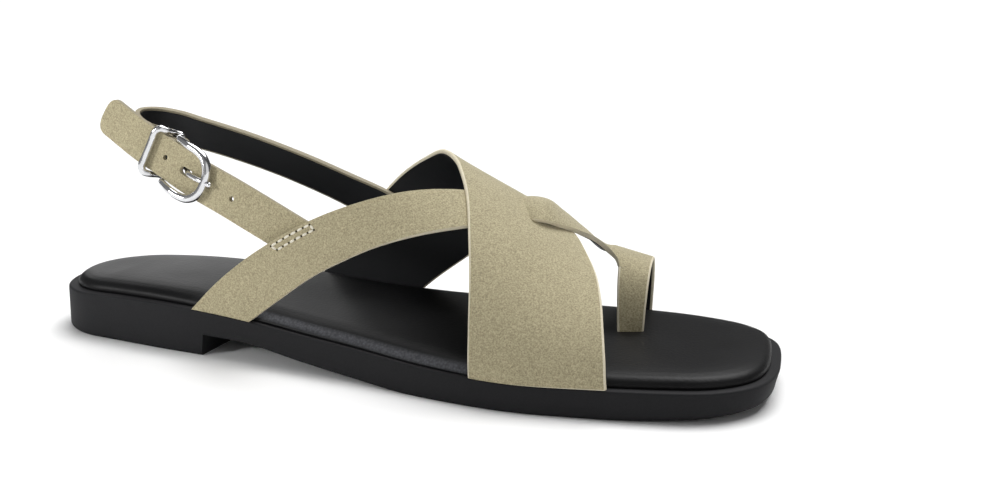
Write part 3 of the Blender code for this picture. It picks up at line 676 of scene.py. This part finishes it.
# Distance from the heel's back, offset from the centre line, height, lean of the top edge in degrees
SLING = np.array([
    (112.0, 25.0, 39.4, 9.0),
    (103.0, 24.2, 43.6, 14.0),
    (92.0, 23.2, 48.2, 23.0),
    (75.0, 20.0, 55.1, 27.0),
    (59.5, 16.4, 60.6, 28.0),
    (45.0, 12.2, 65.1, 28.0),
    (35.5, 9.2, 67.7, 24.0),
    (29.1, 5.6, 68.7, 19.0),
    (25.5, 0.8, 68.7, 15.0),
    (26.2, -4.2, 68.0, 15.0),
    (29.6, -8.0, 67.0, 14.0),
    (34.5, -11.0, 66.2, 13.0),
])
BILLET = np.array([
    (23.0, -15.2, 76.0, 3.0),
    (29.0, -15.9, 72.4, 3.0),
    (38.7, -17.0, 66.9, 6.0),
    (47.8, -18.3, 62.8, 9.0),
    (56.4, -19.6, 58.7, 9.0),
    (74.1, -22.3, 52.0, 9.0),
    (96.0, -24.3, 42.7, 8.0),
    (105.5, -25.5, 38.8, 8.0),
])
BUCKLE_AT = 3  # row of BILLET at the buckle's origin
BAR_ALONG = -0.7  # the centre bar lies this far behind the origin
TOP_LAYER = STRAP_WALL + GAP  # depth of the sling strap's upper layer under the billet
BAR_DEPTH = STRAP_WALL * 1.5 + GAP * 2 + WIRE / 2
FOLD_SLOT = (0.2, 9.0, 3.0)  # middle along the billet, length and width
SLING_STEPS = (97, 9)  # points along and across the strap
FOLD_STEPS = 17  # points round the bar
TWIST_STEPS = 12  # points over which the strap turns to the buckle's own slant
SLOT_SIDES = 32
PAINT_CLOUD = 0.8  # mm

# The narrow straps' edges are sealed with a thin khaki paint, darker and smoother than a raw cut.
painted_edge, tree, shader = new_finish("khaki_painted_leather_edge", Roughness=0.6, Specular_IOR_Level=0.3)
where = node(tree, "ShaderNodeTexCoord")
paint = node(tree, "ShaderNodeTexNoise", {"Scale": per_metre(PAINT_CLOUD), "Detail": 2.0},
             {"Vector": (where, "Object")})
tone = node(tree, "ShaderNodeMix", {"A": linear("857d69"), "B": linear("a0977f")},
            {"Factor": (paint, "Fac")}, data_type="RGBA")
tree.links.new(tone.outputs["Result"], shader.inputs["Base Color"])


def strap_axes(centres, leans):
    """Directions along a heel strap, across it (upwards) and out from the foot, at each centre point."""
    along = np.gradient(centres, axis=0)
    along /= np.linalg.norm(along, axis=1)[:, None]
    up = np.array([0.0, 0.0, 1.0]) - along * along[:, 2:3]
    up /= np.linalg.norm(up, axis=1)[:, None]
    inside = np.cross(up, along)
    lean = np.radians(leans)[:, None]
    across = up * np.cos(lean) + inside * np.sin(lean)
    return along, across, np.cross(along, across)


def strap_path(rows, count):
    """Evenly read centre points and leans along a heel strap's table."""
    knots = travel_along(rows[:, :3])
    path = smooth(np.linspace(0, knots[-1], count), knots, rows)
    return path[:, :3], path[:, 3]


def buckle_axes():
    """Origin and axes of the buckle, taken from the billet where the centre bar crosses it."""
    origin = BILLET[BUCKLE_AT, :3]
    along = BILLET[BUCKLE_AT + 2, :3] - BILLET[BUCKLE_AT - 1, :3]
    along /= np.linalg.norm(along)
    lean = BILLET[BUCKLE_AT, 3:4]
    _, across, out = strap_axes(np.array([origin - along, origin, origin + along]), np.repeat(lean, 3))
    return origin, along, across[1], out[1]


def in_buckle(points):
    """Moves points from the buckle's own axes to sole sizes."""
    origin, along, across, out = buckle_axes()
    return origin + np.asarray(points, float) @ np.stack([along, across, out])


def punch_matrix(along, out):
    """Where a punch stands on the billet's centre line, at a distance along it from the buckle's origin."""
    _, axis_along, axis_across, axis_out = buckle_axes()
    turn = Matrix([axis_along, axis_across, axis_out]).transposed().to_4x4()
    knots = travel_along(BILLET[:, :3])
    centre = smooth(knots[BUCKLE_AT] + along, knots, BILLET[:, :3]) + axis_out * out
    return Matrix.Translation(Vector(place(centre))) @ turn


def rounded_slot(length, width, depth):
    """A closed slot with round ends, long in X and centred on its origin."""
    mesh = bmesh.new()
    radius = width / 2 * MM
    bmesh.ops.create_cone(mesh, cap_ends=True, segments=SLOT_SIDES, radius1=radius, radius2=radius,
                          depth=depth * MM)
    straight = max(length - width, 0.0) / 2 * MM
    for vert in mesh.verts:
        vert.co.x += math.copysign(straight, vert.co.x) if abs(vert.co.x) > 1e-7 else 0.0
    return mesh


def sling_grid():
    """The sling strap: round the heel, then folded about the buckle's centre bar."""
    centres, leans = strap_path(SLING, SLING_STEPS[0])
    angle = np.linspace(0, math.pi, FOLD_STEPS)
    radius = BAR_DEPTH - TOP_LAYER
    fold = np.stack([radius * np.sin(angle), 0 * angle, radius * np.cos(angle) - BAR_DEPTH], axis=1)
    run_in = np.array([(-9.0, 0, -TOP_LAYER - 1.3), (-6.0, 0, -TOP_LAYER - 0.3), (-3.0, 0, -TOP_LAYER)])
    run_out = np.array([(-3.0, 0, -BAR_DEPTH - radius - 0.1), (-7.0, 0, -BAR_DEPTH - radius - 0.9)])
    ending = in_buckle(np.concatenate([run_in, fold, run_out]) + (BAR_ALONG, 0, 0))
    _, across, _ = strap_axes(centres, leans)
    across = np.concatenate([across, np.repeat(buckle_axes()[2][None, :], len(ending), axis=0)])
    blend = np.linspace(0, 1, TWIST_STEPS)[:, None]
    start = len(centres) - len(blend)
    across[start:len(centres)] += (across[-1] - across[start:len(centres)]) * blend
    across /= np.linalg.norm(across, axis=1)[:, None]
    centres = np.concatenate([centres, ending])
    side = np.linspace(0.5, -0.5, SLING_STEPS[1])[None, :, None] * HEEL_STRAP_WIDTH
    return centres[:, None, :] + across[:, None, :] * side


fold_slot = rounded_slot(FOLD_SLOT[1], FOLD_SLOT[2], 3 * BAR_DEPTH)
sling_holes = [(fold_slot, punch_matrix(FOLD_SLOT[0], -BAR_DEPTH))]
sling = lined_strap("heel_sling", sling_grid(), painted_edge, sling_holes)
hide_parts("sling_strap")

# Billet: the buckle's punched strap, of lined nubuck with painted edges. It is sewn inside the cross strap
# and goes through the buckle to a rounded free tip.
BILLET_TIP = 4.4
TIP_SQUARENESS = 0.7
HOLE_PITCH = 9.7
HOLE_SIZE = 1.8
PLAIN_HOLES = (0, 2, 3)  # in pitches from the buckle's origin; the prong's own hole is at about 1
PRONG_HOLE = (9.5, 5.2, 2.7)  # middle along the billet, length and width
BILLET_STEPS = (91, 11)  # points along and across the strap
TIP_ANGLES = np.linspace(85, 0, 14)  # degrees round the tip, from its end to its sides


def billet_grid():
    """The punched strap, from its rounded tip to its sewn end inside the cross strap."""
    centres, leans = strap_path(BILLET, BILLET_STEPS[0])
    travel = travel_along(centres)
    body = travel > BILLET_TIP
    tip_angle = np.radians(TIP_ANGLES)
    tip = smooth(BILLET_TIP * (1 - np.sin(tip_angle) ** TIP_SQUARENESS), travel, centres)
    half = np.concatenate([np.cos(tip_angle) ** TIP_SQUARENESS, np.ones(body.sum())]) * HEEL_STRAP_WIDTH / 2
    centres = np.concatenate([tip, centres[body]])
    leans = np.concatenate([np.full(len(tip), leans[0]), leans[body]])
    _, across, _ = strap_axes(centres, leans)
    side = np.linspace(1, -1, BILLET_STEPS[1])[None, :, None] * half[:, None, None]
    return centres[:, None, :] + across[:, None, :] * side


punches = [PRONG_HOLE] + [(HOLE_PITCH * step, HOLE_SIZE, HOLE_SIZE) for step in PLAIN_HOLES]
billet_holes = []
for along, length, width in punches:
    billet_holes.append((rounded_slot(length, width, 3 * STRAP_WALL), punch_matrix(along, 0.0)))
billet = lined_strap("punched_billet", billet_grid(), painted_edge, billet_holes)
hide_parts("buckle_strap")

# Buckle: a double loop bent from polished, nickel plated wire, with a centre bar for the sling strap's fold
# and a prong that turns on the bar and rests on the round end.
END_HEIGHT = HALF_WALL + GAP + WIRE / 2
# Upper half of the frame, from keeper end to round end: along, across and out from the billet, and the
# wire's thickness
FRAME = np.array([
    (-6.3, 0.0, END_HEIGHT + 0.2, 2.5),
    (-6.3, 3.4, END_HEIGHT + 0.2, 2.5),
    (-6.1, 6.6, END_HEIGHT + 0.2, 2.5),
    (-5.1, 7.9, END_HEIGHT - 0.2, 2.4),
    (-3.6, 8.0, 0.6, 2.2),
    (-2.7, 8.0, -1.2, 1.8),
    (-2.1, 8.0, -3.0, 1.6),
    (BAR_ALONG, 8.0, -BAR_DEPTH, 1.6),
    (0.7, 8.0, -3.0, 1.6),
    (1.1, 8.0, -1.2, 1.8),
    (2.0, 8.0, 0.5, 2.2),
    (4.4, 8.2, 1.5, 2.4),
    (7.6, 8.3, END_HEIGHT + 0.2, 2.6),
    (11.2, 8.3, END_HEIGHT + 0.3, 2.7),
    (14.6, 7.4, END_HEIGHT + 0.3, 2.9),
    (17.0, 5.3, END_HEIGHT + 0.4, 3.1),
    (18.2, 2.7, END_HEIGHT + 0.4, 3.1),
    (18.4, 0.0, END_HEIGHT + 0.4, 3.1),
])
BAR_ROW = 7
PRONG_WIRE = 1.9
EYE = WIRE / 2 + GAP + PRONG_WIRE / 2
# Along, across and out from the billet, from the eye round the bar to the tip
PRONG = np.array([
    (BAR_ALONG + EYE * 0.6, 0.0, -BAR_DEPTH - EYE * 0.8),
    (BAR_ALONG - EYE * 0.5, 0.0, -BAR_DEPTH - EYE * 0.87),
    (BAR_ALONG - EYE, 0.0, -BAR_DEPTH),
    (BAR_ALONG - EYE * 0.25, 0.0, -BAR_DEPTH + EYE * 0.97),
    (3.5, -0.1, -2.3),
    (6.8, -0.3, -2.3),
    (8.6, -0.4, -1.3),
    (9.7, -0.4, 0.2),
    (10.9, -0.3, 1.4),
    (14.0, 0.1, 2.5),
    (18.3, 0.6, END_HEIGHT + 0.8),
    (20.6, 0.85, END_HEIGHT + 0.7),
])
FRAME_POINTS = 240
FRAME_OVERLAP = 3  # rows repeated at both ends of the loop, to keep it smooth
PRONG_POINTS = 90
WIRE_ROUNDNESS = 6  # steps of the curve's round bevel
WELD = 1e-6  # m
TIP_SIDES = (24, 16)
WIRE_HAZE = 3.0  # mm

# Plated wire is mirror bright, with the faint haze of handling.
nickel_wire, tree, shader = new_finish("polished_nickel_plated_wire", Metallic=1.0, Roughness=0.12)
where = node(tree, "ShaderNodeTexCoord")
haze = node(tree, "ShaderNodeTexNoise", {"Scale": per_metre(WIRE_HAZE), "Detail": 3.0},
            {"Vector": (where, "Object")})
gloss = node(tree, "ShaderNodeMapRange", {"To Min": 0.07, "To Max": 0.2}, {"Value": (haze, "Fac")})
tone = node(tree, "ShaderNodeMix", {"A": linear("d2d3d6"), "B": linear("e9e9ea")}, {"Factor": (haze, "Fac")},
            data_type="RGBA")
tree.links.new(tone.outputs["Result"], shader.inputs["Base Color"])
tree.links.new(gloss.outputs["Result"], shader.inputs["Roughness"])


def wire_mesh(name, points, thickness, closed):
    """A round wire as a mesh: a curve with a round bevel, with its end caps welded on."""
    curve = bpy.data.curves.new(name, "CURVE")
    curve.dimensions = "3D"
    curve.bevel_depth = MM / 2
    curve.bevel_resolution = WIRE_ROUNDNESS
    curve.use_fill_caps = not closed
    spline = curve.splines.new("POLY")
    spline.points.add(len(points) - 1)
    for point, where, swell in zip(spline.points, place(points), np.broadcast_to(thickness, len(points))):
        point.co = (*where, 1.0)
        point.radius = swell
    spline.use_cyclic_u = closed
    wire = bpy.data.objects.new(name, curve)
    bpy.context.scene.collection.objects.link(wire)
    bpy.context.view_layer.update()
    data = bpy.data.meshes.new_from_object(wire.evaluated_get(bpy.context.evaluated_depsgraph_get()))
    bpy.data.objects.remove(wire, do_unlink=True)
    mesh = bmesh.new()
    mesh.from_mesh(data)
    bmesh.ops.remove_doubles(mesh, verts=mesh.verts, dist=WELD)
    return mesh


# The closed double loop, its lower half mirrored from the upper one and its ends overlapped to stay smooth
ring = np.concatenate([FRAME, FRAME[-2:0:-1] * (1, -1, 1, 1)])
wrapped = np.concatenate([ring[-FRAME_OVERLAP:], ring, ring[:FRAME_OVERLAP + 1]])
knots = travel_along(wrapped[:, :3])
first, last = knots[FRAME_OVERLAP], knots[FRAME_OVERLAP + len(ring)]
frame_path = smooth(np.linspace(first, last, FRAME_POINTS + 1)[:-1], knots, wrapped)
frame_wire = wire_mesh("frame", in_buckle(frame_path[:, :3]), frame_path[:, 3], True)
buckle = add_piece("buckle_wire_frame", frame_wire, [nickel_wire])
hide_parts("buckle_frame")
bar_half = FRAME[BAR_ROW, 1]
bar = in_buckle([(BAR_ALONG, -bar_half, -BAR_DEPTH), (BAR_ALONG, bar_half, -BAR_DEPTH)])
bar_wire = wire_mesh("bar", bar, FRAME[BAR_ROW, 3], False)
add_piece("buckle_centre_bar", bar_wire, [nickel_wire])
prong_line = in_buckle(along_table(PRONG, PRONG_POINTS))
prong_wire = wire_mesh("prong", prong_line, PRONG_WIRE, False)
prong = add_piece("buckle_wire_prong", prong_wire, [nickel_wire])
tip = bmesh.new()
tip_at = Matrix.Translation(Vector(place(prong_line[-1])))
bmesh.ops.create_uvsphere(tip, u_segments=TIP_SIDES[0], v_segments=TIP_SIDES[1],
                          radius=PRONG_WIRE / 2 * MM, matrix=tip_at)
add_piece("buckle_prong_tip", tip, [nickel_wire])
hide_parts("buckle_prong")

# Floor and light: plain white paper inside a tent of soft light, as in a product studio. The paper runs
# on far enough to fill a low view.
FLOOR_SIZE = 60.0  # m
white_paper, tree, shader = new_finish("white_paper_sweep", Base_Color=linear("f3f3f3"), Roughness=0.9)
floor_mesh = bmesh.new()
bmesh.ops.create_grid(floor_mesh, x_segments=1, y_segments=1, size=FLOOR_SIZE / 2)
floor_data = bpy.data.meshes.new("floor")
floor_mesh.to_mesh(floor_data)
floor_mesh.free()
floor_data.materials.append(white_paper)
floor = bpy.data.objects.new("floor", floor_data)
bpy.context.scene.collection.objects.link(floor)

# A dim tent with a bright panel overhead and weaker ones at the front left, low in front and on the right:
# direction, cosines from it at which the panel's edge begins and is full, and brightness
PANELS = (
    ((0.12, 0.37, 0.92), (0.87, 0.96), 7.0),
    ((-0.60, -0.62, 0.50), (0.35, 0.95), 0.16),
    ((0.0, -1.0, 0.10), (0.40, 0.90), 0.08),
    ((0.80, -0.58, 0.18), (0.78, 0.92), 0.7),
)
TENT_GLOW = 0.07
world = bpy.data.worlds.new("softbox_tent")
bpy.context.scene.world = world
world.use_nodes = True
tree = world.node_tree
where = node(tree, "ShaderNodeTexCoord")
glow = node(tree, "ShaderNodeMath", {0: TENT_GLOW, 1: 0.0}, operation="ADD")
for direction, edge, brightness in PANELS:
    facing = node(tree, "ShaderNodeVectorMath", {1: Vector(direction).normalized()},
                  {0: (where, "Generated")}, operation="DOT_PRODUCT")
    panel = node(tree, "ShaderNodeMapRange",
                 {"From Min": edge[0], "From Max": edge[1], "To Max": brightness},
                 {"Value": (facing, "Value")}, interpolation_type="SMOOTHSTEP")
    glow = node(tree, "ShaderNodeMath", None, {0: (glow, "Value"), 1: (panel, "Result")}, operation="ADD")
tree.nodes["Background"].inputs["Color"].default_value = (1.0, 1.0, 1.0, 1.0)
tree.links.new(glow.outputs["Value"], tree.nodes["Background"].inputs["Strength"])

# Softboxes: one behind the heel, which the padded heel reflects, and one in front for the buckle's strap.
# Place, aim and size in metres, spread of the beam in degrees, power in watts
SOFTBOXES = {
    "heel_softbox": ((-0.68, 0.89, 0.29), (-0.09, 0.0, 0.02), (0.4, 0.3), 180.0, 1.0),
    "strap_softbox": ((-0.55, -0.55, 0.32), (-0.125, -0.015, 0.074), (0.2, 0.2), 22.0, 0.09),
}
for name, (place_at, aim, size, spread, power) in SOFTBOXES.items():
    light = bpy.data.lights.new(name, "AREA")
    light.shape = "RECTANGLE"
    light.size, light.size_y = size
    light.spread = math.radians(spread)
    light.energy = power
    lamp = bpy.data.objects.new(name, light)
    bpy.context.scene.collection.objects.link(lamp)
    lamp.location = place_at
    lamp.rotation_euler = (Vector(place_at) - Vector(aim)).to_track_quat("Z", "Y").to_euler()

# Camera: a short telephoto lens half a metre away, on the lateral side towards the toe, looking a little
# down on the straps.
VIEW_AZIMUTH = math.radians(20.57)
VIEW_ELEVATION = math.radians(13.88)
VIEW_ROLL = math.radians(-0.46)
VIEW_TARGET = (33.1, 1.0, 38.2)
VIEW_DISTANCE = 510.0
FOCAL_PIXELS = 1598.0
IMAGE_WIDTH = 1000.0
SENSOR_WIDTH = 36.0
back = Vector((
    math.sin(VIEW_AZIMUTH) * math.cos(VIEW_ELEVATION),
    -math.cos(VIEW_AZIMUTH) * math.cos(VIEW_ELEVATION),
    math.sin(VIEW_ELEVATION),
))
level = Vector((math.cos(VIEW_AZIMUTH), math.sin(VIEW_AZIMUTH), 0.0))
rise = back.cross(level)
right = level * math.cos(VIEW_ROLL) - rise * math.sin(VIEW_ROLL)
up = level * math.sin(VIEW_ROLL) + rise * math.cos(VIEW_ROLL)
lens = bpy.data.cameras.new("camera")
lens.sensor_width = SENSOR_WIDTH
lens.lens = FOCAL_PIXELS * SENSOR_WIDTH / IMAGE_WIDTH
lens.clip_start = 0.01
camera = bpy.data.objects.new("camera", lens)
bpy.context.scene.collection.objects.link(camera)
turned = Matrix([right, up, back]).transposed().to_4x4()
camera.matrix_world = Matrix.Translation((Vector(VIEW_TARGET) + back * VIEW_DISTANCE) * MM) @ turned
bpy.context.scene.camera = camera
bpy.context.scene.view_settings.view_transform = "Standard"
